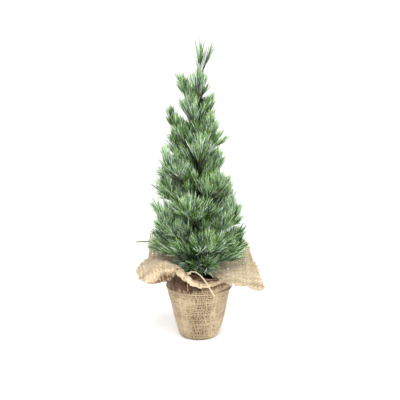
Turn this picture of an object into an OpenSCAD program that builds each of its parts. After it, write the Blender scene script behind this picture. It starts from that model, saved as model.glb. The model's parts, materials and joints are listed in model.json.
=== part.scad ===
// Artificial tabletop tree: wired needle sprays on a steel-cored trunk, set in a ballasted
// plastic pot that is wrapped in a square of burlap and tied at the neck with jute twine.
// The origin is the centre of the wrapped pot's underside. +Z runs up the trunk, -Y is the front.

/* [Pot] */
// Height of the plastic pot's rim above the table
pot_top = 84; // [78:1:88]
// Outer radius of the pot's wall at the rim
pot_top_r = 43.5; // [40:0.5:43.5]
// Outer radius of the pot's wall at its floor
pot_floor_r = 25; // [23:0.5:25]
// Wall thickness of the pot
pot_wall = 1.2; // [0.8:0.1:2]
// Height of the top of the cement plug
ballast_top = 66; // [40:1:74]

/* [Trunk] */
// Radius of the steel rod in the trunk
rod_r = 2; // [1.5:0.1:2.2]
// Outer radius of the tape wound round the rod
trunk_r = 3.4; // [3:0.1:4]
// Height of the top of the trunk, where the leader bends
trunk_top = 368; // [360:1:374]

/* [Branches] */
// Number of branches up the trunk
branch_count = 24; // [24:1:24]
// Turn from each branch to the next one up, in degrees
branch_turn = 137.5; // [136:0.5:139]
// Direction of the lowest branch, in degrees from +X
first_turn = 12; // [8:1:14]
// Height of the lowest branch's root
low_root = 108; // [108:1:116]
// Height of the highest branch's root
high_root = 344; // [330:1:350]
// Lean of the lowest branch away from the trunk, in degrees
low_lean = 66; // [60:1:68]
// Lean of the highest branch away from the trunk, in degrees
high_lean = 26; // [24:1:30]
// Wire length of the lowest branch
low_wire = 62; // [56:1:64]
// Wire length of the highest branch
high_wire = 42; // [36:1:44]
// How much longer the middle branches' wires are than halfway between those two
mid_wire = 7; // [0:1:8]
// How far the needles reach past the end of their wire
needle_reach = 17; // [12:1:18]
// Radius of the needle spray on the lowest branch
low_spray_r = 12; // [9:0.5:12.5]
// Radius of the needle spray on the highest branch
high_spray_r = 8.5; // [7:0.5:9]

/* [Burlap] */
// Thickness of the burlap sheet
burlap_thick = 1.4; // [1:0.1:1.6]
// Height of the tie at the neck of the wrap
neck_z = 81; // [80:0.5:82]
// Outer radius of the wrap at the tie
neck_r = 47; // [46.5:0.1:47.5]

/* [Twine] */
// Diameter of the jute twine
twine_d = 1.8; // [1.5:0.1:2]

/* [Hidden] */
$fn = 48;
branches = [for (i = [0:branch_count - 1]) i];

function label(i) = i < 9 ? str("0", i + 1) : str(i + 1);

// Pot and ballast
floor_gap = 2.2;                        // burlap and a little air under the pot's floor
rim_bead = 0.9;                         // how far the bead stands out round the rim
bead_height = 2 * rim_bead;
drain_r = 3;
drain_ring = 16;                        // distance of the four drain holes from the middle
rod_foot = floor_gap + pot_wall + 3;    // the rod stops 3 above the pot's floor, inside the cement
clear_cut = 1;                          // how far a cutting shape runs past what it cuts
pot_slope = (pot_top_r - pot_floor_r) / (pot_top - floor_gap);
function pot_inner_r(z) = pot_floor_r - pot_wall + (z - floor_gap) * pot_slope;

// Branches: one rule gives every branch its height, direction, lean and length. Some differ from
// it, as on a tree that has been shaped by hand: [branch, share of the rule's length, degrees of
// lean and of turn on top of the rule's]
hand_shaped = [
    [1, 1.06, 0, 0], [2, 0.92, 0, 0], [4, 1.04, 0, 0], [8, 0.95, 0, 0], [9, 1.03, 0, 4],
    [12, 1.12, 2, -9], [13, 0.72, -5, 0], [14, 1.1, 2, 3], [16, 0.9, 0, 0], [18, 0.66, -3, 0],
    [19, 0.9, 0, 0], [20, 1, 0, -6], [21, 0.52, -3, 10], [23, 1, -2, -24]];
function shaped(i) =
    let (found = [for (s = hand_shaped) if (s[0] == i) s]) len(found) > 0 ? found[0] : [i, 1, 0, 0];
function up(i) = i / (branch_count - 1);
root_crowding = 1.2;                    // over 1, the branches stand closer together lower down
lean_curve = 0.9;                       // under 1, the branches straighten up sooner
function root_z(i) = low_root + (high_root - low_root) * pow(up(i), root_crowding);
function turn(i) = first_turn + branch_turn * i + shaped(i)[3];
function lean(i) = low_lean + (high_lean - low_lean) * pow(up(i), lean_curve) + shaped(i)[2];
function wire_length(i) =
    (low_wire + (high_wire - low_wire) * up(i) + mid_wire * sin(180 * up(i))) * shaped(i)[1];
function spray_r(i) = low_spray_r + (high_spray_r - low_spray_r) * up(i);
function spread(i) = low_spread + (high_spread - low_spread) * up(i);
wire_r = 1.1;
twig_r = 0.8;
root_roll_r = wire_r + 0.4;             // the roll that a branch wire turns on, next to the trunk
root_roll_w = 3.2;
wire_bow = 12;                          // how many degrees a wire curves up along its length
hinge_gap = 0.3;
hinge_r = trunk_r + hinge_gap + root_roll_r + 0.1;
fork_at = 0.3;                          // where the two side twigs leave the wire
twig_share = 0.62;                      // length of a side twig against its wire
low_spread = 26;                        // angle between a side twig and its wire, at the bottom
high_spread = 14;                       // the same at the top, where there is less room
twig_spray_share = 0.8;                 // size of a side twig's spray against the wire's own
twig_bare = 8;                          // bare length at the foot of a side twig
bare_root = 13;                         // bare length of a branch wire next to the trunk
SPRAY = [[0, 0], [0.5, 0.1], [0.85, 0.3], [1, 0.55], [0.92, 0.78], [0.55, 0.94], [0, 1]];

// Leader: the trunk's top, with a second sprig that leans to the right
leader_length = 54;
leader_lean = 3;
leader_bare = 6;
leader_spray_r = 9;
second_up = 16;                         // where the second sprig leaves the leader
second_lean = 17;
second_length = 40;

// Burlap below the tie: [outer radius, height], from the middle of the underside to the neck
wrap_side = [[12, 0], [25, 0], [29.5, 3.6], [33, 14], [38, 33], [42.3, 53], [46, 70]];
// Burlap above the tie. Each line is a direction in degrees from +X, and the points [radius, height]
// that the cloth passes there, from the pot's rim to its free edge. On the right and at the back it
// first folds in over the pot's mouth, and then flares out.
collar = [
    [15, [46, 87], [30, 91], [12, 97], [34, 103], [60, 107], [84, 110]],
    [50, [46, 87], [30, 91], [12, 97], [36, 104], [68, 116], [98, 128]],
    [90, [46, 87], [30, 91], [12, 97], [34, 102], [52, 108], [70, 114]],
    [137, [46, 88], [34, 93], [20, 99], [38, 107], [66, 122], [96, 140]],
    [165, [46, 88], [38, 94], [29, 101], [40, 108], [60, 114], [79, 115]],
    [180, [46.5, 89], [41, 96], [35, 103], [44, 111], [64, 117], [88, 110]],
    [196, [47, 90], [43.5, 98], [41, 108], [50, 118.5], [71, 120.5], [96, 105]],
    [212, [47, 91], [42, 99], [40.5, 111], [52, 123], [75, 120.5], [97, 101]],
    [224, [47, 91], [42, 99], [40.5, 111], [51, 122.5], [67, 118.5], [80, 100.5]],
    [231, [46.9, 90.5], [42.5, 99], [41.3, 110.5], [49.5, 120.5], [63, 119], [74, 101]],
    [239, [46.7, 89], [43.4, 98.5], [42.5, 109], [47.5, 116.5], [56.5, 117], [65, 112]],
    [250, [46.6, 87], [45, 96], [44, 104], [46.5, 107.5], [51, 108.5], [56, 102]],
    [262, [46.6, 85], [46, 91], [45.8, 96.5], [47.5, 99.5], [50.5, 99.8], [53.5, 94]],
    [274, [46.6, 84.5], [46.2, 88.5], [46, 93], [47.5, 96], [50, 96.2], [53, 91.5]],
    [290, [46.4, 84.5], [46, 88], [45.8, 92], [47.5, 94.5], [50.5, 94.6], [54, 90.5]],
    [306, [46.2, 85], [45.5, 88.5], [45, 92], [48, 95.5], [54, 98], [62, 97]],
    [318, [46, 86], [43, 90], [40, 94], [46, 98.5], [66, 100.5], [88, 96]],
    [327, [46, 86.5], [35, 91], [24, 96], [40, 101], [72, 100.5], [108, 88]],
    [350, [46, 87], [30, 91], [12, 96], [36, 102], [64, 105], [90, 101]]];
collar_reach = len(collar[0]) - 1;
around = 48;                            // columns of the burlap's mesh
ring_steps = 2;                         // rings between two points of the collar's profile

// Route of the twine's free end, from the knot over the fold and down the front
tail_route = [[-15, -38, 108], [-12, -37, 110], [-7, -37, 110], [-2, -39, 108.5], [3, -43, 105.5], [8, -49, 101.5],
    [12, -54, 97], [15.5, -58.5, 92], [19, -61, 87], [22, -61, 82]];
knot_at = tail_route[0];
knot_r = 2.6;
riser_foot = [-16, -45.5, 83];
ring_drop = 2.2;                        // how far the twine's upper turn lies below the neck
ring_gap = 0.3;                         // air between the twine's turns and the burlap

function mix(a, b, t) = a + (b - a) * t;
function ease(t) = t * t * (3 - 2 * t);

// Points of a smooth curve through the points p, step parts to each gap
function at_end(p, i) = p[max(0, min(len(p) - 1, i))];
function curve_point(p, i, t) =
    let (a = at_end(p, i - 1), b = at_end(p, i), c = at_end(p, i + 1), d = at_end(p, i + 2))
    0.5 * (2 * b + (c - a) * t + (2 * a - 5 * b + 4 * c - d) * t * t + (3 * b - a - 3 * c + d) * t * t * t);
function curve(p, steps) =
    concat([for (i = [0:len(p) - 2], s = [0:steps - 1]) curve_point(p, i, s / steps)], [p[len(p) - 1]]);

// The collar's profile in one direction, worked out between its two nearest stations
function station(k) = collar[(k + len(collar)) % len(collar)];
function after(a) = let (k = [for (k = [0:len(collar) - 1]) if (collar[k][0] > a) k]) len(k) > 0 ? k[0] : 0;
function gap_between(a, b) = (b - a + 360) % 360;
function collar_points(a) =
    let (k = after(a), p = station(k - 1), q = station(k),
         t = ease(gap_between(p[0], a) / gap_between(p[0], q[0])))
    [for (n = [1:collar_reach]) mix(p[n], q[n], t)];
function profile(a) = concat(wrap_side, curve(concat([[neck_r, neck_z]], collar_points(a)), ring_steps));
// The same profile moved across by d, square to its own direction
function across(p, i) = let (v = at_end(p, i + 1) - at_end(p, i - 1)) [-v[1], v[0]] / norm(v);
function moved(p, d) = [for (i = [0:len(p) - 1]) i < 2 ? p[i] + [0, d] : p[i] + d * across(p, i)];

module sheet_solid() {
    outer = [for (j = [0:around - 1]) moved(profile(j * 360 / around), 0)];
    inner = [for (j = [0:around - 1]) moved(profile(j * 360 / around), burlap_thick)];
    rings = len(outer[0]);
    shell = around * rings;
    function spun(p, j) = let (a = j * 360 / around) [p[0] * cos(a), p[0] * sin(a), p[1]];
    points = concat(
        [for (i = [0:rings - 1], j = [0:around - 1]) spun(outer[j][i], j)],
        [for (i = [0:rings - 1], j = [0:around - 1]) spun(inner[j][i], j)],
        [[0, 0, 0], [0, 0, burlap_thick]]);
    function at(i, j) = i * around + j % around;
    faces = concat(
        [for (i = [0:rings - 2], j = [0:around - 1]) each [
            [at(i, j), at(i + 1, j), at(i + 1, j + 1)], [at(i, j), at(i + 1, j + 1), at(i, j + 1)],
            [shell + at(i, j), shell + at(i + 1, j + 1), shell + at(i + 1, j)],
            [shell + at(i, j), shell + at(i, j + 1), shell + at(i + 1, j + 1)]]],
        [for (j = [0:around - 1]) each [
            [2 * shell, at(0, j), at(0, j + 1)],
            [2 * shell + 1, shell + at(0, j + 1), shell + at(0, j)],
            [at(rings - 1, j), shell + at(rings - 1, j), shell + at(rings - 1, j + 1)],
            [at(rings - 1, j), shell + at(rings - 1, j + 1), at(rings - 1, j + 1)]]]);
    polyhedron(points = points, faces = faces);
}

// A tube with flat ends and eight sides along the points p
module tube(p, d) {
    sides = 8;
    rings = len(p);
    function dir(i) = let (v = at_end(p, i + 1) - at_end(p, i - 1)) v / norm(v);
    function side_of(v) = let (s = cross(v, [0, 1, 0])) s / norm(s);
    function corner(i, k) =
        let (v = dir(i), s = side_of(v), a = k * 360 / sides)
        p[i] + d / 2 * (cos(a) * s + sin(a) * cross(v, s));
    points = [for (i = [0:rings - 1], k = [0:sides - 1]) corner(i, k)];
    function at(i, k) = i * sides + k % sides;
    faces = concat(
        [[for (k = [0:sides - 1]) at(0, k)]],
        [for (i = [0:rings - 2], k = [0:sides - 1])
            [at(i, k + 1), at(i, k), at(i + 1, k), at(i + 1, k + 1)]],
        [[for (k = [sides - 1:-1:0]) at(rings - 1, k)]]);
    polyhedron(points = points, faces = faces);
}

module pot() {
    color("dimgray") difference() {
        rotate_extrude() polygon([
            [0, floor_gap], [pot_floor_r, floor_gap], [pot_top_r, pot_top - bead_height],
            [pot_top_r + rim_bead, pot_top - bead_height], [pot_top_r + rim_bead, pot_top],
            [pot_top_r - pot_wall, pot_top], [pot_inner_r(floor_gap + pot_wall), floor_gap + pot_wall],
            [0, floor_gap + pot_wall]]);
        for (a = [0:90:270]) rotate([0, 0, a]) translate([drain_ring, 0, floor_gap - clear_cut])
            cylinder(r = drain_r, h = pot_wall + 2 * clear_cut);
    }
}

module ballast() {
    low = floor_gap + pot_wall;
    color("silver") difference() {
        rotate_extrude() polygon([
            [0, low], [pot_inner_r(low), low], [pot_inner_r(ballast_top), ballast_top], [0, ballast_top]]);
        translate([0, 0, rod_foot]) cylinder(r = rod_r, h = ballast_top);
    }
}

module trunk_rod() {
    color("slategray") translate([0, 0, rod_foot]) cylinder(r = rod_r, h = trunk_top - rod_foot);
}

module trunk_tape() {
    color("saddlebrown") translate([0, 0, ballast_top]) difference() {
        cylinder(r = trunk_r, h = trunk_top - ballast_top);
        translate([0, 0, -clear_cut]) cylinder(r = rod_r, h = trunk_top);
    }
}

module burlap_wrap() {
    color("tan") sheet_solid();
}

module twine_ring() {
    color("burlywood") for (turns = [0, 1])
        translate([0, 0, neck_z - ring_drop - turns * twine_d]) rotate_extrude()
            translate([neck_r + ring_gap + twine_d / 2, 0]) circle(d = twine_d, $fn = 24);
}

module twine_knot() {
    rise = knot_at - riser_foot;
    lie = [0, acos(rise[2] / norm(rise)), atan2(rise[1], rise[0])];
    color("burlywood") {
        translate(knot_at) sphere(r = knot_r);
        translate(riser_foot) rotate(lie) cylinder(d = twine_d, h = norm(rise), $fn = 24);
    }
}

module twine_tail() {
    color("burlywood") tube(curve(tail_route, 2), twine_d);
}

// A closed spray of needles along +Z, from near to far
module spray(near, far, r) {
    rotate_extrude() polygon([for (p = SPRAY) [p[0] * r, near + p[1] * (far - near)]]);
}

// Stands what lies along +Z in a branch's own direction, at its root
module at_root(i) {
    rotate([0, 0, turn(i)]) translate([hinge_r, 0, root_z(i)]) rotate([0, lean(i), 0]) children();
}

module side_twigs(i) {
    for (side = [-1, 1]) translate([0, 0, fork_at * wire_length(i)])
        rotate([side * spread(i), 0, 0]) children();
}

module branch_wire(i) {
    bow_r = wire_length(i) / (wire_bow * PI / 180);
    color("darkolivegreen") at_root(i) {
        rotate([90, 0, 0]) cylinder(r = root_roll_r, h = root_roll_w, center = true);
        rotate([0, wire_bow / 2, 0]) translate([-bow_r, 0, 0]) rotate([90, 0, 0])
            rotate_extrude(angle = wire_bow) translate([bow_r, 0]) circle(r = wire_r, $fn = 24);
        side_twigs(i) cylinder(r = twig_r, h = twig_share * wire_length(i), $fn = 24);
    }
}

module branch_needles(i) {
    color("forestgreen") at_root(i) {
        spray(bare_root, wire_length(i) + needle_reach, spray_r(i));
        side_twigs(i)
            spray(twig_bare, twig_share * wire_length(i) + needle_reach, spray_r(i) * twig_spray_share);
    }
}

module at_leader() {
    translate([0, 0, trunk_top + hinge_gap + wire_r]) children();
}

module second_sprig() {
    translate([0, 0, second_up]) rotate([0, second_lean, 0]) children();
}

module leader_wire() {
    color("darkolivegreen") at_leader() rotate([0, leader_lean, 0]) {
        rotate([90, 0, 0]) cylinder(r = wire_r, h = root_roll_w, center = true);
        cylinder(r = wire_r, h = leader_length, $fn = 24);
        second_sprig() cylinder(r = twig_r, h = second_length, $fn = 24);
    }
}

module leader_needles() {
    color("forestgreen") at_leader() rotate([0, leader_lean, 0]) {
        spray(leader_bare, leader_length + needle_reach, leader_spray_r);
        second_sprig() spray(twig_bare, second_length + needle_reach, leader_spray_r * twig_spray_share);
    }
}

pot();
ballast();
trunk_rod();
trunk_tape();
burlap_wrap();
twine_ring();
twine_knot();
twine_tail();
leader_wire();
leader_needles();
for (i = branches) {
    branch_wire(i);
    branch_needles(i);
}
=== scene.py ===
"""Looks of the artificial tabletop tree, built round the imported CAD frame.

Lengths in the tables are millimetres, as in the part's source, and MM turns them into metres. The camera's
distance, the floor and the lights are in metres.
"""

import json
import math

import bpy
import numpy as np
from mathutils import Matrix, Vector

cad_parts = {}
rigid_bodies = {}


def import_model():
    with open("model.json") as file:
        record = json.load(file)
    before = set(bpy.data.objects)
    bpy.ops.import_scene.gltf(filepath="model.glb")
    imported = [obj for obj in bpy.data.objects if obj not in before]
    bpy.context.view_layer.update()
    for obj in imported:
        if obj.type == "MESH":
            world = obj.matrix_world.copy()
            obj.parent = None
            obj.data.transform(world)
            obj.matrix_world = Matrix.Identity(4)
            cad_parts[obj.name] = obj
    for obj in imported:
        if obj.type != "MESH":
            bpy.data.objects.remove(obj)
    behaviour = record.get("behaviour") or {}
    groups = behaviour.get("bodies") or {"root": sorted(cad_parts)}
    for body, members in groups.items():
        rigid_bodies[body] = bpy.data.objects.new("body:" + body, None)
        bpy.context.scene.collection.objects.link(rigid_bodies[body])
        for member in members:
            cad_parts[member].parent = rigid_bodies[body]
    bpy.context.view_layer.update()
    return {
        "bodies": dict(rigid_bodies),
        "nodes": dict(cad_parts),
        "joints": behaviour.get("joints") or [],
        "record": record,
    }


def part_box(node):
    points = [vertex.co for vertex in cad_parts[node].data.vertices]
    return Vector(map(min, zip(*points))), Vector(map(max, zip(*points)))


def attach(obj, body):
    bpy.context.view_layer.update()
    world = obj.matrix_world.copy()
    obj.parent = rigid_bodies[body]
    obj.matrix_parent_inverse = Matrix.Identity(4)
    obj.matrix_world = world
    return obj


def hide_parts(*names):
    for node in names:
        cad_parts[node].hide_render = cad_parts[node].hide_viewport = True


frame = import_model()

MM = 0.001
SEED = 20
BASE = "base"
JOINT_OF = {j["child"]: j for j in frame["joints"]}
BRANCHES = sorted(body for body in frame["bodies"] if body.startswith("branch_"))
GOLDEN_ANGLE = 2.39996  # turn in radians from one needle or sprig to the next, as plants space them

# ---------------------------------------------------------------- camera
VIEW_ELEVATION = 15
VIEW_DISTANCE = 1.7
VIEW_LENS = 105
VIEW_AIM = (1.5 * MM, 0, 208 * MM)


def add_camera():
    """The camera at the photo's angle, in front of the tree and a little above it."""
    camera = bpy.data.objects.new("camera", bpy.data.cameras.new("camera"))
    bpy.context.scene.collection.objects.link(camera)
    tilt = math.radians(VIEW_ELEVATION)
    aim = Vector(VIEW_AIM)
    camera.location = aim + VIEW_DISTANCE * Vector((0, -math.cos(tilt), math.sin(tilt)))
    camera.rotation_euler = (aim - camera.location).to_track_quat("-Z", "Y").to_euler()
    camera.data.lens = VIEW_LENS
    camera.data.clip_start = 0.01
    bpy.context.scene.camera = camera


# ---------------------------------------------------------------- small tools
def unit(v):
    """The directions of the given vectors, as vectors of length one."""
    return v / np.maximum(np.linalg.norm(v, axis=-1, keepdims=True), 1e-12)


def smooth_curve(points, steps):
    """Points of a smooth curve through the given ones, steps to each gap."""
    p = np.array(points, float)
    padded = np.vstack([p[:1], p, p[-1:]])
    out = []
    for i in range(len(p) - 1):
        a, b, c, d = padded[i : i + 4]
        squared = 2 * a - 5 * b + 4 * c - d
        cubed = 3 * b - a - 3 * c + d
        for t in np.arange(steps) / steps:
            out.append(0.5 * (2 * b + (c - a) * t + squared * t**2 + cubed * t**3))
    return np.array(out + [p[-1]])


def lengths_along(points):
    """How far along the line each of its points lies."""
    gaps = np.linalg.norm(np.diff(points, axis=0), axis=1)
    return np.concatenate([[0], np.cumsum(gaps)])


def turn_between(a, b):
    """The turn from direction b to direction a in degrees, between -180 and 180."""
    return (a - b + 180) % 360 - 180


def outwards(turn):
    """The level direction away from the trunk at a turn in radians."""
    return np.array([math.cos(turn), math.sin(turn), 0])


class Build:
    """Gathers the vertices, faces and vertex data of one mesh."""

    def __init__(self):
        self.points, self.faces, self.data, self.count = [], [], [], 0

    def add(self, points, faces, data):
        """Adds points with their data, and faces that count from the first of these points."""
        self.points.append(points)
        self.faces.append(np.asarray(faces) + self.count)
        self.data.append(data)
        self.count += len(points)

    def piece(self, name, body, material, slot, smooth=True):
        """Makes the piece. Its data is a vertex colour called "strand"."""
        points = np.concatenate(self.points) * MM
        faces = np.concatenate(self.faces)
        mesh = bpy.data.meshes.new(name)
        mesh.vertices.add(len(points))
        mesh.vertices.foreach_set("co", points.ravel())
        mesh.loops.add(faces.size)
        mesh.loops.foreach_set("vertex_index", faces.ravel())
        mesh.polygons.add(len(faces))
        mesh.polygons.foreach_set("loop_start", np.arange(len(faces)) * faces.shape[1])
        mesh.polygons.foreach_set("use_smooth", np.full(len(faces), smooth))
        data = np.concatenate(self.data)
        strand = mesh.attributes.new("strand", "FLOAT_COLOR", "POINT")
        strand.data.foreach_set("color", np.hstack([data, np.ones((len(data), 1))]).ravel())
        mesh.update(calc_edges=True)
        mesh.materials.append(material)
        piece = bpy.data.objects.new(name, mesh)
        bpy.context.scene.collection.objects.link(piece)
        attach(piece, body)
        return piece


def ladder(rows, columns, closed=False):
    """Quads of a grid of rows x columns points, closed across its columns or not."""
    i = np.arange(rows - 1)[:, None] * columns
    j = np.arange(columns if closed else columns - 1)[None, :]
    k = (j + 1) % columns
    return np.stack([i + j, i + k, i + columns + k, i + columns + j], -1).reshape(-1, 4)


# ---------------------------------------------------------------- materials
def new_material(name):
    """A material, its node tree and the tree's shader."""
    material = bpy.data.materials.new(name)
    material.use_nodes = True
    tree = material.node_tree
    return material, tree, tree.nodes["Principled BSDF"]


def node(tree, kind, inputs=None, **settings):
    """A node with its settings. An input is a value, or a socket to link from."""
    made = tree.nodes.new(kind)
    for key, value in settings.items():
        setattr(made, key, value)
    for key, value in (inputs or {}).items():
        if isinstance(value, bpy.types.NodeSocket):
            tree.links.new(value, made.inputs[key])
        else:
            made.inputs[key].default_value = value
    return made


def ramp(tree, factor, stops):
    """Colours by a factor, blended evenly from each stop to the next."""
    made = node(tree, "ShaderNodeValToRGB", {"Fac": factor})
    elements = made.color_ramp.elements
    while len(elements) < len(stops):
        elements.new(0.5)
    for element, (at, colour) in zip(elements, stops):
        element.position = at
        element.color = (*colour, 1)
    return made.outputs["Color"]


def mixed(tree, factor, a, b, blend="MIX"):
    """Two colours mixed or blended by a factor."""
    made = node(tree, "ShaderNodeMix", data_type="RGBA", blend_type=blend)
    for socket, value in ((0, factor), (6, a), (7, b)):
        if isinstance(value, bpy.types.NodeSocket):
            tree.links.new(value, made.inputs[socket])
        else:
            made.inputs[socket].default_value = value if socket == 0 else (*value, 1)
    return made.outputs[2]


def math_node(tree, operation, *values):
    """The result of one arithmetic step on values or sockets."""
    made = node(tree, "ShaderNodeMath", operation=operation)
    for socket, value in enumerate(values):
        if isinstance(value, bpy.types.NodeSocket):
            tree.links.new(value, made.inputs[socket])
        else:
            made.inputs[socket].default_value = value
    return made.outputs[0]


def noise(tree, scale, detail=3, roughness=0.6, stretch=None):
    """Noise in the piece's own space, finer with a larger scale."""
    where = node(tree, "ShaderNodeTexCoord").outputs["Object"]
    if stretch:
        where = node(tree, "ShaderNodeMapping", {"Vector": where, "Scale": stretch}).outputs[0]
    inputs = {"Vector": where, "Scale": scale, "Detail": detail, "Roughness": roughness}
    return node(tree, "ShaderNodeTexNoise", inputs).outputs["Fac"]


def bump(tree, shader, height, strength, distance):
    """Makes the surface look uneven by a height, with its depth in metres."""
    made = node(tree, "ShaderNodeBump", {"Height": height, "Strength": strength, "Distance": distance})
    tree.links.new(made.outputs[0], shader.inputs["Normal"])


def strand_values(tree):
    """The three values of a strand's vertex data: along it, its own shade, and across it."""
    source = node(tree, "ShaderNodeAttribute", attribute_name="strand")
    split = node(tree, "ShaderNodeSeparateColor", {"Color": source.outputs["Color"]})
    return split.outputs


def jute(name, dark, mid, light, twist_step):
    """Spun jute: each yarn has its own shade, which on the burlap also carries painted shade and painted
    light, and twist lines run across it at a slant.
    """
    material, tree, shader = new_material(name)
    along, shade, across = strand_values(tree)
    patches = noise(tree, 60, 4)
    fibres = noise(tree, 2600, 2)
    own_tone = math_node(tree, "MULTIPLY_ADD", shade, 0.55, -0.05)
    tone = math_node(tree, "MULTIPLY_ADD", patches, 0.45, own_tone)
    colour = ramp(tree, tone, [(0.15, dark), (0.5, mid), (0.85, light)])
    shift = math_node(tree, "MULTIPLY", across, 5.0)
    slant = math_node(tree, "MULTIPLY_ADD", along, 2 * math.pi / twist_step, shift)
    twist = math_node(tree, "SINE", slant)
    speck = ramp(tree, fibres, [(0.35, (0.72, 0.7, 0.66)), (0.62, (1.08, 1.06, 1.02))])
    tree.links.new(mixed(tree, 1.0, colour, speck, "MULTIPLY"), shader.inputs["Base Color"])
    shader.inputs["Roughness"].default_value = 0.88
    shader.inputs["Sheen Weight"].default_value = 0.25
    shader.inputs["Sheen Roughness"].default_value = 0.6
    shader.inputs["Specular IOR Level"].default_value = 0.25
    height = math_node(tree, "MULTIPLY_ADD", twist, 0.35, fibres)
    bump(tree, shader, height, 0.5, 0.0003)
    return material


# What a needle's own shade multiplies its colour by, from the darkest needles to the few bright ones
NEEDLE_SHADES = [
    (0.0, (0.18, 0.22, 0.24)),
    (0.35, (0.38, 0.46, 0.46)),
    (0.65, (1.1, 1.1, 1.05)),
    (0.9, (1.6, 1.5, 1.1)),
    (1.0, (3.0, 2.4, 0.9)),
]


def needle_material(name, base, body, tip, frost, frost_share):
    """Film-cut needles: dark at the wire, a painted shade where they crowd together, greener along the
    needle, and frosted pale near the tip.
    """
    material, tree, shader = new_material(name)
    along, shade, frosting = strand_values(tree)
    length_colour = ramp(tree, along, [(0.0, base), (0.15, base), (0.58, body), (0.8, body), (1.0, tip)])
    colour = mixed(tree, 1.0, length_colour, ramp(tree, shade, NEEDLE_SHADES), "MULTIPLY")
    flakes = noise(tree, 900, 2)
    frosted = math_node(tree, "MULTIPLY", frosting, math_node(tree, "POWER", along, 0.6))
    frosted = math_node(tree, "MULTIPLY", frosted, math_node(tree, "MULTIPLY_ADD", flakes, 1.4, -0.1))
    frosted = math_node(tree, "MULTIPLY", frosted, frost_share)
    frosted = node(tree, "ShaderNodeClamp", {"Value": frosted}).outputs[0]
    tree.links.new(mixed(tree, frosted, colour, frost), shader.inputs["Base Color"])
    shader.inputs["Roughness"].default_value = 0.5
    shader.inputs["Specular IOR Level"].default_value = 0.35
    bump(tree, shader, noise(tree, 1500, 2), 0.25, 0.0002)
    return material


def plain_material(
    name, dark, light, scale, roughness, bump_strength, bump_depth, metallic=0.0, stretch=None
):
    """A moulded, cast or drawn surface: two close shades, mottled, with a fine grain."""
    material, tree, shader = new_material(name)
    grain = noise(tree, scale, 5, 0.65, stretch)
    tree.links.new(ramp(tree, grain, [(0.3, dark), (0.7, light)]), shader.inputs["Base Color"])
    shader.inputs["Roughness"].default_value = roughness
    shader.inputs["Metallic"].default_value = metallic
    bump(tree, shader, grain, bump_strength, bump_depth)
    return material


# The burlap's darkest colour is reached mostly where the yarns carry painted shade.
BURLAP = jute("burlap_jute", (0.1, 0.045, 0.016), (0.47, 0.36, 0.22), (0.69, 0.58, 0.415), 1.6)
TWINE = jute("twine_jute", (0.3, 0.2, 0.11), (0.6, 0.48, 0.31), (0.9, 0.8, 0.6), 2.4)
NEEDLES = needle_material(
    "needle_film",
    # The near-black base is painted shade at the needles' roots.
    base=(0.008, 0.02, 0.008),
    body=(0.105, 0.25, 0.065),
    tip=(0.34, 0.54, 0.14),
    frost=(0.81, 0.96, 0.78),
    frost_share=1.4,
)
# A darker copy of the needle film: painted shade for the needles deep inside the tree.
SHADED_INNER_NEEDLES = needle_material(
    "inner_needle_film_painted_shade",
    base=(0.006, 0.014, 0.007),
    body=(0.03, 0.075, 0.03),
    tip=(0.06, 0.13, 0.05),
    frost=(0.25, 0.34, 0.26),
    frost_share=0.5,
)


# ---------------------------------------------------------------- twine
TWINE_D = 1.8
# The string's free end, from the knot to its cut end
TAIL_ROUTE = [
    (-15, -38, 108), (-12, -37, 110), (-7, -37, 110), (-2, -39, 108.5), (3, -43, 105.5),
    (8, -49, 101.5), (12, -54, 97), (15.5, -58.5, 92), (19, -61, 87), (22, -61, 82),
]


def frames_along(points):
    """Two directions square to the line at each of its points, with no sudden turn."""
    run = unit(np.gradient(points, axis=0))
    side = [unit(np.cross(run[0], (0.3, 0.2, 0.9)))]
    for d in run[1:]:
        s = side[-1] - d * np.dot(side[-1], d)
        side.append(unit(s))
    side = np.array(side)
    return run, side, np.cross(run, side)


def add_twine(build, points, rng, pale=0.95, sides=12, lobes=3, twist_step=5.0, diameter=TWINE_D):
    """A string of three twisted plies, as a tube whose section turns along the line."""
    along = lengths_along(points)
    run, side, up = frames_along(points)
    a = np.arange(sides) * 2 * math.pi / sides
    turned = a[None, :] - along[:, None] * 2 * math.pi / twist_step
    fat = 1 + 0.05 * np.sin(along * 1.7 + rng.uniform(0, 6))[:, None]
    r = diameter / 2 * fat * (0.84 + 0.16 * np.abs(np.cos(lobes * turned / 2)))
    ring = points[:, None] + r[..., None] * (
        np.cos(a)[None, :, None] * side[:, None] + np.sin(a)[None, :, None] * up[:, None]
    )
    shade = np.full(r.shape, pale)
    data = np.stack([np.repeat(along[:, None], sides, 1), shade, lobes * turned], -1)
    build.add(ring.reshape(-1, 3), ladder(len(points), sides, closed=True), data.reshape(-1, 3))
    for end, order in ((0, -1), (len(points) - 1, 1)):
        rim = np.arange(sides)[::order] + end * sides
        quads = [[rim[0], rim[2 * k + 1], rim[2 * k + 2], rim[2 * k + 3]] for k in range(sides // 2 - 1)]
        build.faces.append(np.array(quads) + build.count - len(r) * sides)
    return along[-1]


def twine_tail():
    """The string's free end, which hangs over the front of the pot."""
    rng = np.random.default_rng(SEED)
    build = Build()
    route = smooth_curve(TAIL_ROUTE, 12)
    length = add_twine(build, route, rng)
    tail = build.piece("twine_tail_string", BASE, TWINE, "jute_twine")
    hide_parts("twine_tail")


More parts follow.
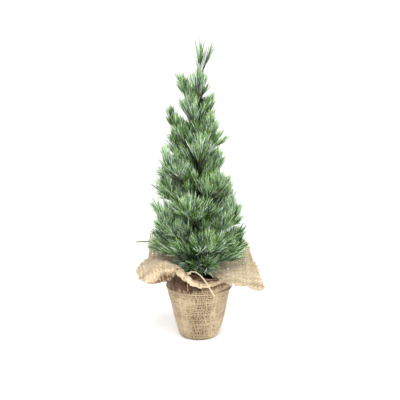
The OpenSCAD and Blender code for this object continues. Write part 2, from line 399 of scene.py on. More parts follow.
def twine_ring():
    """Two turns of the string round the neck, one laid on the other."""
    rng = np.random.default_rng(SEED + 1)
    low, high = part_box("twine_ring")
    radius = (high.x - low.x) / 2 / MM - TWINE_D / 2
    top = high.z / MM - TWINE_D / 2
    angle = np.linspace(0, 4 * math.pi, 400)
    drop = (top - low.z / MM - TWINE_D / 2) * angle / angle[-1]
    wave = 0.25 * np.sin(3 * angle) + 0.15 * np.sin(7 * angle + 1)
    line = np.stack([radius * np.cos(angle), radius * np.sin(angle), top - drop + wave * 0.6], -1)
    build = Build()
    add_twine(build, line, rng, pale=0.26)
    ring = build.piece("twine_turns", BASE, TWINE, "jute_twine")
    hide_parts("twine_ring")


def twine_knot():
    """An overhand knot, and the riser that comes up to it from the turns."""
    rng = np.random.default_rng(SEED + 2)
    t = np.linspace(0, 2 * math.pi, 90)
    knot = np.stack([np.sin(t) + 2 * np.sin(2 * t), np.cos(t) - 2 * np.cos(2 * t), -np.sin(3 * t)], -1)
    centre = np.array(TAIL_ROUTE[0], float)
    build = Build()
    add_twine(build, centre + knot * (0.95, 0.75, 0.95), rng)
    low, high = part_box("twine_knot")
    foot = np.array([centre[0] - 1, low.y / MM + TWINE_D / 2, low.z / MM + TWINE_D / 2])
    riser = smooth_curve([foot, (foot + centre) / 2 + (-1, 0, 0), centre], 12)
    add_twine(build, riser, rng, pale=0.1)
    piece = build.piece("twine_overhand_knot", BASE, TWINE, "jute_twine")
    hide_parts("twine_knot")


# ---------------------------------------------------------------- burlap
# The cloth's outline up the pot: distance from the middle, and height
WRAP_SIDE = [(25, 0), (29.5, 3.6), (33, 14), (38, 33), (42.3, 53), (46, 70), (47, 81)]
# The gathered neck and the flare: a direction in degrees, then the outline there in the same terms
COLLAR = [
    (15, (46, 87), (30, 91), (12, 97), (34, 103), (60, 107), (84, 110)),
    (50, (46, 87), (30, 91), (12, 97), (36, 104), (68, 116), (98, 128)),
    (90, (46, 87), (30, 91), (12, 97), (34, 102), (52, 108), (70, 114)),
    (137, (46, 88), (34, 93), (20, 99), (38, 107), (66, 122), (96, 140)),
    (165, (46, 88), (38, 94), (29, 101), (40, 108), (60, 114), (79, 115)),
    (180, (46.5, 89), (41, 96), (35, 103), (44, 111), (64, 117), (88, 110)),
    (196, (47, 90), (43.5, 98), (41, 108), (50, 118.5), (71, 120.5), (96, 105)),
    (212, (47, 91), (42, 99), (40.5, 111), (52, 123), (75, 120.5), (97, 101)),
    (224, (47, 91), (42, 99), (40.5, 111), (51, 122.5), (67, 118.5), (80, 100.5)),
    (231, (46.9, 90.5), (42.5, 99), (41.3, 110.5), (49.5, 120.5), (63, 119), (74, 101)),
    (239, (46.7, 89), (43.4, 98.5), (42.5, 109), (47.5, 116.5), (56.5, 117), (65, 112)),
    (250, (46.6, 87), (45, 96), (44, 104), (46.5, 107.5), (51, 108.5), (56, 102)),
    (262, (46.6, 85), (46, 91), (45.8, 96.5), (47.5, 99.5), (50.5, 99.8), (53.5, 94)),
    (274, (46.6, 84.5), (46.2, 88.5), (46, 93), (47.5, 96), (50, 96.2), (53, 91.5)),
    (290, (46.4, 84.5), (46, 88), (45.8, 92), (47.5, 94.5), (50.5, 94.6), (54, 90.5)),
    (306, (46.2, 85), (45.5, 88.5), (45, 92), (48, 95.5), (54, 98), (62, 97)),
    (318, (46, 86), (43, 90), (40, 94), (46, 98.5), (66, 100.5), (88, 96)),
    (327, (46, 86.5), (35, 91), (24, 96), (40, 101), (72, 100.5), (108, 88)),
    (350, (46, 87), (30, 91), (12, 96), (36, 102), (64, 105), (90, 101)),
]
# Folds that run up the pot: direction in degrees, how far out in mm, and width in degrees
PLEATS = [
    (311, 1.0, 4), (322, 1.3, 5), (334, -0.8, 5), (48, 1.1, 4), (58, -0.8, 4),
    (139, 1.1, 4), (128, -0.8, 4), (214, 0.9, 5), (225, -0.8, 5), (235, 0.6, 4),
]
CREASE = 3          # the collar's point where the gathered neck ends and the flare begins
YARN_STEP = 2.9     # distance between the cloth's yarns
WEAVE_RISE = 0.38   # how far a yarn's middle line goes over and under
YARN_CROWN = 0.42   # how far a yarn's ridge stands above its edges
FRAY = (1.0, 4.5)   # how far the yarns run past the cut edge
UPRIGHTS = 100      # yarns that run up the pot
FLARE_REACH = 130   # how far the flare's yarns are followed to each side of the middle
MOUTH_STRANDS = 20  # pulled yarns in the gap at the front of the neck
# A yarn that has pulled out of the frayed edge at the back left
LOOSE_YARN = [(-58, 54, 124), (-66, 52, 128), (-80, 50, 129.5), (-95, 49, 129)]
LOOSE_YARN_WIDTH = 1.9


def collar_stations(angle):
    """The collar's points in one direction, eased between the two stations either side."""
    after = next((k for k, s in enumerate(COLLAR) if s[0] > angle), 0)
    p, q = COLLAR[after - 1], COLLAR[after]
    t = ((angle - p[0]) % 360) / ((q[0] - p[0]) % 360)
    t = t * t * (3 - 2 * t)
    return [np.array(p[n]) * (1 - t) + np.array(q[n]) * t for n in range(1, len(p))]


class ClothShape:
    """The wrapped cloth's middle surface, by direction and by distance along it from the pot's underside."""

    PAST = 12          # how far each outline runs on past the cut edge, for the frayed ends
    STEPS = 5          # points to each gap of an outline
    POT_LENGTH = 81    # distance along the cloth over which it lies on the pot
    NECK_AT = 95       # distance along the cloth of the gathered neck
    WAVES_AT = 96      # distance along the cloth from which the flare is wavy

    def __init__(self):
        lines, crease, edge, crease_r = [], [], [], []
        for angle in range(361):
            line = smooth_curve(WRAP_SIDE + collar_stations(angle % 360), self.STEPS)
            along = lengths_along(line)
            at_crease = (len(WRAP_SIDE) - 1 + CREASE) * self.STEPS
            crease.append(along[at_crease])
            crease_r.append(line[at_crease, 0])
            edge.append(along[-1])
            past = line[-1] + unit(line[-1] - line[-2]) * self.PAST
            lines.append((np.vstack([line, past]), np.append(along, along[-1] + self.PAST)))
        s = np.arange(int(max(edge)) + self.PAST)
        self.table = np.array([[np.interp(s, along, line[:, k]) for k in (0, 1)] for line, along in lines])
        self.crease, self.edge, self.crease_r = np.array(crease), np.array(edge), np.array(crease_r)

    def at_angle(self, values, angle):
        """A value that is known for each whole degree, at any direction."""
        return np.interp(angle % 360, np.arange(361), values)

    def point(self, angle, s):
        """The cloth's points at directions in degrees and distances along it, folds and waves added."""
        angle = angle % 360
        i = np.minimum(angle.astype(int), 359)
        s = np.clip(s, 0, self.table.shape[2] - 1.001)
        j = s.astype(int)
        u, v = angle - i, s - j
        r, z = [
            (self.table[i, k, j] * (1 - u) + self.table[i + 1, k, j] * u) * (1 - v)
            + (self.table[i, k, j + 1] * (1 - u) + self.table[i + 1, k, j + 1] * u) * v
            for k in (0, 1)
        ]
        a = np.radians(angle)
        share = np.clip(s / self.POT_LENGTH, 0, 1)
        pleats = sum(
            deep * np.exp(-((turn_between(angle, at) / wide) ** 2)) for at, deep, wide in PLEATS
        )
        slack = 0.4 * np.sin(3 * a + 5 * share) + 0.3 * np.sin(7 * a - 9 * share)
        slack = slack + 0.2 * np.sin(12 * a + 14 * share)
        above = np.clip((s - self.WAVES_AT) / 14, 0, 1)
        body = np.clip(share * 5, 0, 1) * (1 - above)
        folds = 1.3 * np.sin(17 * a + 1) + 0.9 * np.sin(29 * a)
        gathers = np.exp(-(((s - self.NECK_AT) / 7) ** 2)) * (folds + 1.2)
        r = r - 0.7 + (pleats * np.sin(math.pi * share**0.8) + slack) * body + gathers * 0.4
        z = z + above * (1.0 * np.sin(4 * a + s / 9) + 0.6 * np.sin(9 * a - s / 7 + 2))
        return np.stack([r * np.cos(a), r * np.sin(a), np.maximum(z, 0.9)], -1)

    def frame(self, angle, s):
        """The point, and the cloth's direction outwards there."""
        round_ = self.point(angle + 0.6, s) - self.point(angle - 0.6, s)
        up = self.point(angle, s + 0.5) - self.point(angle, s - 0.5)
        return self.point(angle, s), unit(np.cross(round_, up))


def wobble(rng, along, *waves):
    """A smooth random line: for each wave, its length and its height."""
    return sum(
        height * np.sin(2 * math.pi * along / length + rng.uniform(0, 6.28))
        for length, height in waves
    )


def add_yarn(build, points, normals, width, along, shade):
    """One yarn as a low ridge: a strip of two faces across, which rises in its middle."""
    run = unit(np.gradient(points, axis=0))
    across = unit(np.cross(normals, run))
    half = (np.broadcast_to(width, len(points)) / 2)[:, None]
    rows = np.stack([points - across * half, points + normals * YARN_CROWN, points + across * half], 1)
    data = np.empty((len(points), 3, 3))
    data[..., 0] = along[:, None]
    data[..., 1] = np.reshape(shade, (-1, 1))
    data[..., 2] = [0.0, 0.5, 1.0]
    build.add(rows.reshape(-1, 3), ladder(len(points), 3), data.reshape(-1, 3))


def openness(angle, s):
    """What yarns' widths are multiplied by in the open weave at the front, a patch with an uneven edge."""
    middle = 271 + 3 * np.sin(s / 9 + 1)
    half_width = 22 + 3 * np.sin(s / 6)
    return 1 - 0.48 * np.exp(-((turn_between(angle, middle) / half_width) ** 4))


def back_openness(angle, radius):
    """The same for the pulled-out weave in the two back corners of the flare."""
    back = np.exp(-((turn_between(angle, 92) / 62) ** 6))
    return 1 - 0.68 * back * np.clip((radius - 44) / 30, 0, 1)


def uneven(rng, n, amount):
    """How the width of a hand-spun yarn wanders from one crossing to the next."""
    rough = rng.normal(0, amount, n + 4)
    return (rough[:-4] + 2 * rough[1:-3] + 2 * rough[2:-2] + rough[3:-1]) / 4


def painted_crease_shade(angle, s):
    """How much darker the yarns are painted in the folds at the neck, at the left front and the front:
    painted shade where the flaps overhang the neck.
    """
    left_front = np.exp(-((turn_between(angle, 226) / 42) ** 4))
    front = np.exp(-((turn_between(angle, 285) / 40) ** 4))
    rough = 1.4 * np.sin(np.radians(angle) * 23) + 1.2 * np.sin(np.radians(angle) * 41 + 1)
    left_fold = 1.05 * left_front * np.clip((s - 83 + rough) / 8, 0, 1) * np.clip((121 - s) / 8, 0, 1)
    return left_fold + 0.55 * front * np.clip((s - 88 + rough) / 6, 0, 1) * np.clip((104 - s) / 4, 0, 1)


def painted_lobe_shade(angle, past):
    """How much darker the yarns are painted at the left lobe's front edge: painted shade for where its hem
    turns under.
    """
    turned_in = np.exp(-((turn_between(angle, 230) / 9) ** 4))
    return 0.75 * turned_in * np.clip((past + 17) / 6, 0, 1)


def weave_body(build, rng, cloth):
    """The cloth up to the gathered neck: upright yarns, and level ones over and under them."""
    for k in range(UPRIGHTS):
        angle = (k + rng.uniform(-0.15, 0.15)) * 360 / UPRIGHTS
        top = cloth.at_angle(cloth.crease, angle) + 2
        s = np.arange(0, top, YARN_STEP / 2)
        drift = angle + wobble(rng, s, (23, 0.35), (9, 0.15)) * 360 / UPRIGHTS
        at, out = cloth.frame(drift, s)
        over = np.sin(math.pi * (s / YARN_STEP + k)) * WEAVE_RISE
        pitch = 2 * math.pi * np.hypot(at[:, 0], at[:, 1]) / UPRIGHTS
        width = pitch * openness(drift, s) * (rng.uniform(0.86, 0.96) + uneven(rng, len(s), 0.15))
        # Each upright yarn's shade has the painted shade at the neck's folds taken off.
        shade = rng.uniform(0.32, 0.82) + wobble(rng, s, (31, 0.1)) - painted_crease_shade(angle, s)
        add_yarn(build, at + out * over[:, None], out, width, s, shade)
    half_turns = np.arange(2 * UPRIGHTS + 1) * 180 / UPRIGHTS
    for m in range(int(max(cloth.crease) / YARN_STEP) + 1):
        low = (m + rng.uniform(-0.13, 0.13)) * YARN_STEP
        s = np.maximum(low + wobble(rng, half_turns, (180, 0.4), (90, 0.3), (45, 0.2)), 0)
        inside = s < cloth.at_angle(cloth.crease, half_turns) + 2
        shade = rng.uniform(0.42, 0.68) + wobble(rng, half_turns, (120, 0.08), (23, 0.06))
        # The level yarns too have the painted shade at the neck's folds taken off.
        shade = shade - painted_crease_shade(half_turns, s)
        first_over = 1 if m % 2 else -1
        over = -np.sin(math.pi * (half_turns * UPRIGHTS / 360 + 0.5)) * first_over * WEAVE_RISE
        at, out = cloth.frame(half_turns, s)
        at = at + out * over[:, None]
        width = YARN_STEP * openness(half_turns, s) * (rng.uniform(0.89, 0.96) + uneven(rng, len(s), 0.14))
        along = lengths_along(at)
        for run in runs_of(inside):
            add_yarn(build, at[run], out[run], width[run], along[run], shade[run])


def runs_of(flags):
    """Slices of the unbroken runs of true flags, those of 4 or more."""
    edges = np.flatnonzero(np.diff(np.concatenate([[0], flags.astype(int), [0]])))
    return [slice(a, b) for a, b in edges.reshape(-1, 2) if b - a >= 4]


def weave_underside(build, rng):
    """The flat of the cloth under the pot."""
    edge = WRAP_SIDE[0][0] + 1
    for direction in (0, 1):
        for k, off in enumerate(np.arange(-edge + YARN_STEP / 2, edge, YARN_STEP)):
            half = math.sqrt(edge**2 - off**2)
            t = np.arange(-half, half + 0.01, YARN_STEP / 2)
            if len(t) < 4:
                continue
            over = np.sin(math.pi * (t / YARN_STEP + k + 0.5 * direction))
            z = 0.85 + 0.2 * over * (1 if direction else -1)
            flat = np.stack([t, np.full_like(t, off), z], -1)
            if direction:
                flat = flat[:, [1, 0, 2]]
            down = np.tile([0.0, 0.0, -1.0], (len(t), 1))
            add_yarn(build, flat, down, YARN_STEP * rng.uniform(0.75, 0.9), t + half, rng.random())


def weave_flare(build, rng, cloth):
    """The flared collar. Its yarns run straight across the flat cloth, and fray at its edge. They are drawn
    in a lighter shade range than the body's, as painted light on the upturned flare.
    """
    for direction in (0, 1):
        first_over = 1 if direction else -1
        for k in range(int(-FLARE_REACH / YARN_STEP), int(FLARE_REACH / YARN_STEP) + 1):
            t = np.arange(-FLARE_REACH, FLARE_REACH, YARN_STEP / 2)
            off = (k + rng.uniform(-0.13, 0.13)) * YARN_STEP + wobble(rng, t, (41, 0.4), (15, 0.2))
            x, y = (t, off) if direction == 0 else (off, t)
            angle = np.degrees(np.arctan2(y, x)) % 360
            radius = np.hypot(x, y)
            s = cloth.at_angle(cloth.crease, angle) + radius - cloth.at_angle(cloth.crease_r, angle)
            past = s - cloth.at_angle(cloth.edge, angle)
            fray = rng.uniform(*FRAY) * (1 - 0.75 * np.exp(-((turn_between(angle, 276) / 30) ** 4)))
            fray = fray * (1 + 0.7 * np.exp(-((turn_between(angle, 345) / 25) ** 2)))
            leaving = np.clip(1.6 * (np.abs(t) / radius) ** 2 - 0.6, 0, 1)
            inside = (radius > cloth.at_angle(cloth.crease_r, angle) - 1) & (past < fray * leaving)
            over = np.sin(math.pi * (t / YARN_STEP + k + 0.5 * direction)) * first_over * WEAVE_RISE
            at, out = cloth.frame(angle, s)
            loose = np.clip(past, 0, None)
            strayed = np.outer(loose, rng.normal(0, 0.16, 3))
            at = at + out * over[:, None] + strayed - [0, 0, 0.03] * loose[:, None] ** 2
            next_x, next_y = (t, off + 1) if direction == 0 else (off + 1, t)
            next_angle = np.degrees(np.arctan2(next_y, next_x)) % 360
            next_s = s + np.hypot(next_x, next_y) - radius
            gap = cloth.point(next_angle, next_s) - cloth.point(angle, s)
            pitch = YARN_STEP * np.linalg.norm(gap, axis=1)
            pitch = np.clip(pitch, 0.6 * YARN_STEP, 1.9 * YARN_STEP)
            width = pitch * (rng.uniform(0.93, 1.01) + uneven(rng, len(t), 0.07))
            width = width * np.where(past > 0, 0.7, 1) * back_openness(angle, radius)
            # The painted shade at the left lobe's front edge is taken off the flare's yarns.
            shade = rng.uniform(0.5, 1.25) - painted_lobe_shade(angle, past)
            for run in runs_of(inside):
                add_yarn(build, at[run], out[run], width[run], t[run] + FLARE_REACH, shade[run])


def mouth_strands(build, rng):
    """Pulled yarns and folds of the cloth's neck, seen in the gap between the two flaps at the front."""
    for _ in range(MOUTH_STRANDS):
        drop = rng.uniform(0, 6)
        back = 6 * rng.uniform(0, 1) ** 1.3
        route = [
            (-20, -34 + back, 104 - drop),
            (-8, -40 + back, 99.5 - drop),
            (8, -41 + back, 97 - drop),
            (20, -38 + back, 95 - drop),
            (33, -30 + back, 91 - drop / 2),
        ]
        route = [(x, y, z + 0.4 * back) for x, y, z in route]
        line = smooth_curve(np.array(route) + rng.normal(0, 1.3, (len(route), 3)), 6)
        facing = np.tile([0.0, -0.8, 0.6], (len(line), 1))
        width = rng.uniform(0.9, 1.9) + uneven(rng, len(line), 0.25)
        add_yarn(build, line, facing, width, lengths_along(line), rng.uniform(-0.5, 0.9))


def loose_yarn(build):
    """The yarn that has pulled out at the back left, paler towards its end."""
    line = smooth_curve(LOOSE_YARN, 5)
    facing = np.tile([0.0, -0.95, 0.3], (len(line), 1))
    shade = np.linspace(-0.1, 0.2, len(line))
    add_yarn(build, line, facing, LOOSE_YARN_WIDTH, lengths_along(line), shade)


def burlap():
    """The whole wrap, as one piece of cloth."""
    rng = np.random.default_rng(SEED + 3)
    build = Build()
    cloth = ClothShape()
    weave_body(build, rng, cloth)
    weave_underside(build, rng)
    weave_flare(build, rng, cloth)
    mouth_strands(build, rng)
    loose_yarn(build)
    piece = build.piece("burlap_cloth", BASE, BURLAP, "burlap")
    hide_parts("burlap_wrap")


# ---------------------------------------------------------------- needles
NEEDLE_WIDTHS = np.array([0.75, 1.0, 0.85, 0.28])   # from a needle's root to its tip, as shares of its width
NEEDLE_W = 1.25     # a needle's usual width
NEEDLE_LIFT = 0.75  # how much each needle turns up towards the light
TIP_TUFT = 8        # needles in the tuft at the end of each twig
WHITE_SHARE = 0.16  # share of needles that are frosted all over
TUFT_AT = 0.8       # where along its twig the tuft starts


def add_needles(build, rng, roots, ways, bends, lengths, width, frost):
    """Needles as slim V-shaped strips, each with its own start, direction, bend and length."""
    n, rings = len(roots), len(NEEDLE_WIDTHS)
    t = np.linspace(0, 1, rings)
    line = roots[:, None] + lengths[:, None, None] * (
        ways[:, None] * t[None, :, None] + bends[:, None] * (t**2)[None, :, None]
    )
    run = unit(np.gradient(line, axis=1))
    roll = unit(rng.normal(size=(n, 3)))
    across = unit(np.cross(run, roll[:, None]))
    ridge = np.cross(run, across)
    wide = width * NEEDLE_WIDTHS[None, :, None] * rng.uniform(0.7, 1.2, n)[:, None, None]
    rows = np.stack([line - across * wide / 2, line + ridge * wide * 0.35, line + across * wide / 2], 2)
    white = rng.random(n) < WHITE_SHARE
    frosting = np.where(white, rng.uniform(0.8, 1.3, n), np.clip(rng.normal(frost - 0.24, 0.34, n), 0, 1))
    data = np.empty((n, rings, 3, 3))
    data[..., 0] = t[None, :, None]
    data[..., 1] = rng.random(n)[:, None, None]
    data[..., 2] = frosting[:, None, None]
    faces = (ladder(rings, 3)[None] + (np.arange(n) * rings * 3)[:, None, None]).reshape(-1, 4)
    build.add(rows.reshape(-1, 3), faces, data.reshape(-1, 3))


def needle_twig(
    build, rng, start, end, per_mm, reach, past, open_angle, frost, width=NEEDLE_W, lift=NEEDLE_LIFT
):
    """Needles all round one straight twig. They lean up and close in at its tip.

    per_mm is how many there are to a millimetre, reach their usual length, past about how far they
    may go beyond the tip, and open_angle how far they usually stand off the twig, in degrees.
    """
    way = end - start
    length = np.linalg.norm(way)
    way = way / length
    n = int(length * per_mm) + TIP_TUFT
    at = rng.uniform(0, TUFT_AT, n)
    at[-TIP_TUFT:] = TUFT_AT
    turn = np.arange(n) * GOLDEN_ANGLE + rng.uniform(0, 6)
    side = unit(np.cross(way, (0.31, 0.2, 0.93)))
    up = np.cross(way, side)
    lean = np.radians(open_angle * rng.uniform(0.3, 1.4, n))
    lean[-TIP_TUFT:] = np.radians(rng.uniform(2, 14, TIP_TUFT))
    out = np.cos(turn)[:, None] * side + np.sin(turn)[:, None] * up
    lifted = lift * (1 - 0.6 * at / TUFT_AT)
    ways = unit(np.cos(lean)[:, None] * way + np.sin(lean)[:, None] * out + np.outer(lifted, (0, 0, 1)))
    bend = rng.uniform(0, 0.12, n)
    room = (length * (1 - at) + past) / np.maximum(ways @ way + bend, 0.4)
    lengths = np.minimum(reach * rng.uniform(0.6, 1.3, n), room * rng.uniform(0.55, 1.2, n))
    bends = bend[:, None] * way + rng.normal(0, 0.035, (n, 3))
    add_needles(build, rng, start + way * (at * length)[:, None], ways, bends, lengths, width, frost)


def wire_tips(wire, root, axis):
    """The ends of a forked wire: the main tip, and the tips to its two sides along the hinge's axis."""
    mesh = frame["nodes"][wire].data
    co = np.empty(len(mesh.vertices) * 3)
    mesh.vertices.foreach_get("co", co)
    co = co.reshape(-1, 3) / MM
    far = np.linalg.norm(co - root, axis=1)
    side = (co - root) @ axis
    at_tips = (far > far.max() - MAIN_TIP, side < side.min() + SIDE_TIP, side > side.max() - SIDE_TIP)
    return [co[chosen].mean(0) for chosen in at_tips]


FORK_AT = 0.3       # where on its wire a branch's side twigs leave it, and the leader's second sprig
BARE_ROOT = 0.14    # share of a branch's wire that has no needles
OWN_TWIGS_AT = 0.4  # where on its wire the longer side twigs of single branches leave it
MAIN_TIP = 1.5      # how near the wire's farthest point its vertices count as the main tip
SIDE_TIP = 0.8      # the same for the tips to its two sides
TWIG_DENSITY = 2.4  # needles to a millimetre on a branch's twigs
# The needles of sprigs and of single branches' own twigs
SPRIG_NEEDLES = {"per_mm": TWIG_DENSITY, "reach": 21, "past": 15, "open_angle": 25}
OWN_TWIG_NEEDLES = {"per_mm": 1.6, "reach": 25, "past": 15, "open_angle": 28}
# Sprigs on a side twig: where on it they leave it, and how far they lean upwards
SIDE_SPRIGS = [(0.35, 0.8), (0.7, 0.5)]
# Sprigs on a branch: where on its wire, how far they lean to the side and upwards, and their length
SPRIGS = [
    (0.26, -0.9, 0.6, 20), (0.32, 0.9, 0.6, 20), (0.38, 0.0, 1.0, 20), (0.46, -0.55, 0.8, 22),
    (0.56, 0.6, 0.8, 22), (0.64, -0.1, 0.9, 21), (0.72, -0.7, 0.5, 20), (0.8, 0.65, 0.5, 19),
    (0.88, -0.35, 0.55, 17), (0.94, 0.3, 0.6, 16),
]
# The lowest branches also have a few that hang towards the cloth
LOW_SPRIGS = [(0.35, -1.0, -0.3, 22), (0.5, 1.0, -0.3, 22), (0.75, 0.2, -0.5, 16), (0.8, -0.8, -0.2, 18)]
LOW_BRANCHES = 7
WIDE_BRANCHES = 13  # below this branch, the side twigs' sprigs turn outwards, and from it up inwards
# Sprigs that single branches have on top of these, in the same terms, by the branch's place from the bottom
OWN_SPRIGS = {
    1: [(0.45, -1.0, -1.3, 26), (0.6, -0.8, -1.5, 22), (0.75, -0.5, -1.6, 16)],
    4: [(0.75, 0.2, 1.2, 32), (0.95, -0.2, 1.1, 30), (0.85, -0.7, 0.9, 26)],
    5: [(0.75, -0.2, 1.2, 32), (0.95, 0.2, 1.1, 28), (0.85, 0.6, 0.9, 26)],
    9: [(0.5, -0.6, -0.8, 22), (0.65, 0.5, -0.8, 20)],
    12: [(0.7, 0.7, 0.2, 24)],
}
# Ends of longer side twigs that single branches have, which fill the gaps between them
OWN_TWIGS = {
    0: [(64, 2, 160)],
    1: [(-67, 4, 131), (-58, 24, 134), (-52, -12, 130)],
    4: [(-66, -6, 200)],
    9: [(-60, -6, 226), (-53, -5, 213)],
    12: [(-53, -12, 250)],
    16: [(33, 14, 290)],
}
# How far past its wire the main twig of a branch goes on
TIP_GROWTH = {9: 4, 12: 11, 14: 6, 17: 13, 22: 4, 23: 9}
SPRIG_RISE = 0.5    # how much each sprig turns up towards the light
TOP_BRANCHES = 20   # from this branch up, a branch has longer needles and the first three sprigs alone
INNER_COUNT = 2600  # short dark needles on the trunk
SKIRT_SPRIGS = 12
FILL_SPRIGS = 84


def sprig_end(rng, foot, way, lean, lift, length):
    """The end of a sprig that turns away from its twig, upwards and to one side."""
    across = unit(np.cross(way, (0, 0, 1)))
    rise = np.cross(across, way)
    ahead = rng.uniform(0.7, 1.0)
    upwards = lift + rng.normal(0, 0.2)
    aside = lean + rng.normal(0, 0.25)
    going = unit(way * ahead + rise * upwards + across * aside)
    going = unit(going + [0, 0, SPRIG_RISE])
    return foot + going * length * rng.uniform(0.85, 1.15)


def sprigs_of(number):
    """The sprigs on a branch, by its place from the bottom."""
    if number >= TOP_BRANCHES:
        sprigs = SPRIGS[:3]
    else:
        sprigs = SPRIGS + (LOW_SPRIGS if number < LOW_BRANCHES else [])
    return sprigs + OWN_SPRIGS.get(number, [])


def side_twigs(build, rng, number, fork, tips, reach, frost, height):
    """The two side twigs of a branch, each with its needles and its sprigs."""
    outward = 0.7 if number < WIDE_BRANCHES else -0.6
    for tip, lean in zip(tips, (outward, -outward)):
        needle_twig(
            build, rng, fork, tip,
            per_mm=TWIG_DENSITY, reach=reach, past=17, open_angle=26 - 13 * height, frost=frost,
        )
        for share, lift in SIDE_SPRIGS:
            foot = fork + share * (tip - fork)
            end = sprig_end(rng, foot, unit(tip - fork), lean, lift, 21 - 9 * height)
            needle_twig(build, rng, foot, end, frost=frost, **SPRIG_NEEDLES)


def branch_needles(body, number):
    """All the needles of one branch: on its main twig, its side twigs and its sprigs."""
    rng = np.random.default_rng(SEED + 100 + number)
    joint = JOINT_OF[body]
    root = np.array(joint["pos_m"]) / MM
    main, left, right = wire_tips(body + "_wire", root, np.array(joint["axis"]))
    main = main + unit(main - root) * TIP_GROWTH.get(number, 0)
    height = number / (len(BRANCHES) - 1)
    reach = 36 if number >= TOP_BRANCHES else 26 - 2 * height
    frost = 0.42 + 0.12 * math.sin(1.7 * number)
    build = Build()
    way = unit(main - root)
    length = np.linalg.norm(main - root)
    needle_twig(
        build, rng, root + way * BARE_ROOT * length, main,
        per_mm=TWIG_DENSITY, reach=reach, past=18, open_angle=27 - 15 * height, frost=frost,
    )
    fork = root + FORK_AT * (main - root)
    side_twigs(build, rng, number, fork, (left, right), reach, frost, height)
    for share, lean, lift, sprig_length in sprigs_of(number):
        foot = root + way * share * length
        grown = sprig_length * (1.25 - 0.55 * height)
        end = sprig_end(rng, foot, way, lean * (1 - 0.4 * height), lift, grown)
        needle_twig(build, rng, foot, end, frost=frost + rng.normal(0, 0.2), **SPRIG_NEEDLES)
    for end in OWN_TWIGS.get(number, []):
        start = root + way * OWN_TWIGS_AT * length
        needle_twig(build, rng, start, np.array(end, float), frost=frost, **OWN_TWIG_NEEDLES)
    piece = build.piece(body + "_spray", body, NEEDLES, "pvc_needles")
    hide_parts(body + "_needles")


def leader_needles():
    """Two slim bundles: the leader's own, straight up, and the second sprig's, to its right."""
    rng = np.random.default_rng(SEED + 90)
    root = np.array(JOINT_OF["leader"]["pos_m"]) / MM
    _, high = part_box("leader_wire")
    main = np.array([root[0] + 2.8, 0, high.z / MM])
    second = np.array([high.x / MM - 0.8, 0, high.z / MM - 5])
    fork = root + FORK_AT * (main - root)
    build = Build()
    needle_twig(
        build, rng, root + [0, 0, 6], main,
        per_mm=0.7, reach=44, past=17, open_angle=12, frost=0.3, width=1.5, lift=0,
    )
    needle_twig(
        build, rng, fork, second,
        per_mm=0.15, reach=44, past=17, open_angle=9, frost=0.35, width=1.6, lift=0,
    )
    piece = build.piece("leader_spray", "leader", NEEDLES, "pvc_needles")
    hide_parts("leader_needles")


def trunk_size():
    """The radius of the wound trunk, and the height of its top."""
    _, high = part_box("trunk_tape")
    return high.x / MM, high.z / MM


def inner_needles(rng, radius, top):
    """Short dark needles all up the trunk, which close the inside of the tree. Their darker copy of the
    needle film is painted shade for the tree's inside.
    """
    n = INNER_COUNT
    share = rng.uniform(0, 1, n) ** 1.15
    z = 92 + (top - 108) * share
    turn = rng.uniform(0, 2 * math.pi, n)
    out = np.stack([np.cos(turn), np.sin(turn), np.zeros(n)], -1)
    lean = np.radians(rng.uniform(14, 58, n))
    ways = np.sin(lean)[:, None] * out + np.cos(lean)[:, None] * np.array([0, 0, 1])
    roots = out * radius * 0.95 + np.stack([0 * z, 0 * z, z], -1)
    bends = rng.normal(0, 0.1, (n, 3))
    lengths = rng.uniform(18, 36, n) * (1 - 0.6 * share)
    build = Build()
    add_needles(build, rng, roots, ways, bends, lengths, 1.8, 0.2)
    build.piece("trunk_inner_needles", BASE, SHADED_INNER_NEEDLES, "pvc_needles")


def skirt_needles(rng, radius):
    """Low sprigs round the foot of the trunk, just over the cloth."""
    build = Build()
    for k in range(SKIRT_SPRIGS):
        out = outwards(k * GOLDEN_ANGLE + 0.4)
        start = out * radius + [0, 0, rng.uniform(106, 114)]
        end = out * rng.uniform(25, 33) + [0, 0, rng.uniform(111, 117)]
        needle_twig(
            build, rng, start, end,
            per_mm=2.0, reach=20, past=9, open_angle=42, frost=0.55, lift=0,
        )
    build.piece("trunk_skirt_needles", BASE, NEEDLES, "pvc_needles")


def fill_needles(rng, radius, top):
    """Short sprigs that stand out from the trunk between the branches, and fill the middle of the tree."""
    build = Build()
    for k in range(FILL_SPRIGS):
        share = (k + 0.5) / FILL_SPRIGS
        height = 110 + (top - 138) * share**1.35
        out = outwards(k * GOLDEN_ANGLE + rng.uniform(-0.3, 0.3))
        low = max(0, 1 - share / 0.3)
        lean = math.radians(56 - 30 * share + 18 * low + rng.uniform(-6, 6))
        length = (58 - 38 * share) * rng.uniform(0.8, 1.1)
        start = out * radius + [0, 0, height]
        end = start + length * (math.sin(lean) * out + math.cos(lean) * np.array([0, 0, 1]))
        needle_twig(
            build, rng, start, end,
            per_mm=2.2, reach=24, past=17, open_angle=28 - 8 * share, frost=0.25,
        )
    build.piece("trunk_fill_needles", BASE, NEEDLES, "pvc_needles")


def trunk_needles():
    """The needles that stay with the trunk when the branches bend."""
    radius, top = trunk_size()
    rng = np.random.default_rng(SEED + 91)
    inner_needles(rng, radius, top)
    skirt_needles(rng, radius)
    fill_needles(np.random.default_rng(SEED + 92), radius, top)


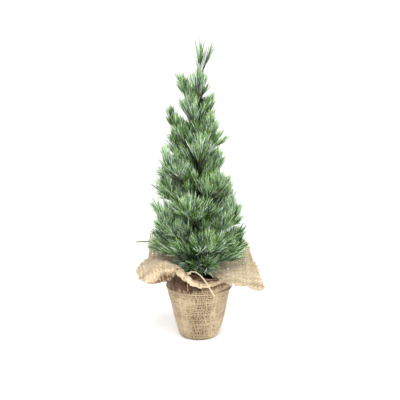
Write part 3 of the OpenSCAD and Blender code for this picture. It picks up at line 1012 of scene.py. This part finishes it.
# ---------------------------------------------------------------- parts kept from the CAD
def cad_materials():
    """The materials of the parts kept from the CAD, by the slots that they fill."""
    return {
        "pot_plastic": plain_material(
            "pot_plastic_moulded", (0.012, 0.009, 0.007), (0.03, 0.023, 0.018),
            scale=160, roughness=0.5, bump_strength=0.2, bump_depth=0.0003,
        ),
        "cement": plain_material(
            "cement_cast", (0.2, 0.18, 0.16), (0.42, 0.4, 0.36),
            scale=180, roughness=0.95, bump_strength=0.8, bump_depth=0.001,
        ),
        "steel_rod": plain_material(
            "steel_drawn", (0.25, 0.25, 0.25), (0.45, 0.45, 0.45),
            scale=400, roughness=0.4, bump_strength=0.1, bump_depth=0.0001,
            metallic=1.0, stretch=(1, 1, 0.05),
        ),
        "bark_tape": plain_material(
            "trunk_tape_wound", (0.02, 0.014, 0.008), (0.07, 0.05, 0.03),
            scale=300, roughness=0.8, bump_strength=0.6, bump_depth=0.0008,
            stretch=(0.3, 0.3, 2.5),
        ),
        "green_wire": plain_material(
            "wire_painted", (0.02, 0.03, 0.012), (0.06, 0.075, 0.03),
            scale=700, roughness=0.55, bump_strength=0.5, bump_depth=0.0003,
        ),
    }


def finish_cad_parts():
    """Gives the parts kept from the CAD their materials."""
    by_slot = cad_materials()
    for part in frame["record"]["subparts"]:
        if part["material_slot"] in by_slot:
            shown = frame["nodes"][part["node"]]
            shown.data.materials.clear()
            shown.data.materials.append(by_slot[part["material_slot"]])


# ---------------------------------------------------------------- studio
FLOOR_HALF = 6          # metres from the middle of the floor to its edges
WORLD_STRENGTH = 1.1
LIGHT_AIM = (0, 0, 0.2)


def area_light(name, at, size, power):
    """A round soft light that shines on the middle of the tree."""
    data = bpy.data.lights.new(name, "AREA")
    data.shape = "DISK"
    data.size = size
    data.energy = power
    light = bpy.data.objects.new(name, data)
    light.location = at
    light.rotation_euler = (Vector(LIGHT_AIM) - Vector(at)).to_track_quat("-Z", "Y").to_euler()
    bpy.context.scene.collection.objects.link(light)


def studio():
    """The plain pale floor, the even white surroundings and two soft lights."""
    mesh = bpy.data.meshes.new("floor")
    corners = [(x * FLOOR_HALF, y * FLOOR_HALF, 0) for x, y in ((-1, -1), (1, -1), (1, 1), (-1, 1))]
    mesh.from_pydata(corners, [], [(0, 1, 2, 3)])
    floor = bpy.data.objects.new("floor", mesh)
    bpy.context.scene.collection.objects.link(floor)
    material, _, shader = new_material("floor_paper")
    shader.inputs["Base Color"].default_value = (0.95, 0.95, 0.95, 1)
    shader.inputs["Roughness"].default_value = 0.9
    mesh.materials.append(material)
    world = bpy.data.worlds.new("studio")
    world.use_nodes = True
    background = world.node_tree.nodes["Background"]
    background.inputs["Color"].default_value = (1, 1, 1, 1)
    background.inputs["Strength"].default_value = WORLD_STRENGTH
    bpy.context.scene.world = world
    area_light("key", at=(-0.25, -1.3, 1.6), size=0.9, power=18)
    area_light("fill", at=(1.2, -0.9, 1.3), size=1.2, power=17)
    bpy.context.scene.view_settings.view_transform = "Standard"


add_camera()
twine_tail()
twine_ring()
twine_knot()
burlap()
leader_needles()
for number, body in enumerate(BRANCHES):
    branch_needles(body, number)
trunk_needles()
finish_cad_parts()
studio()
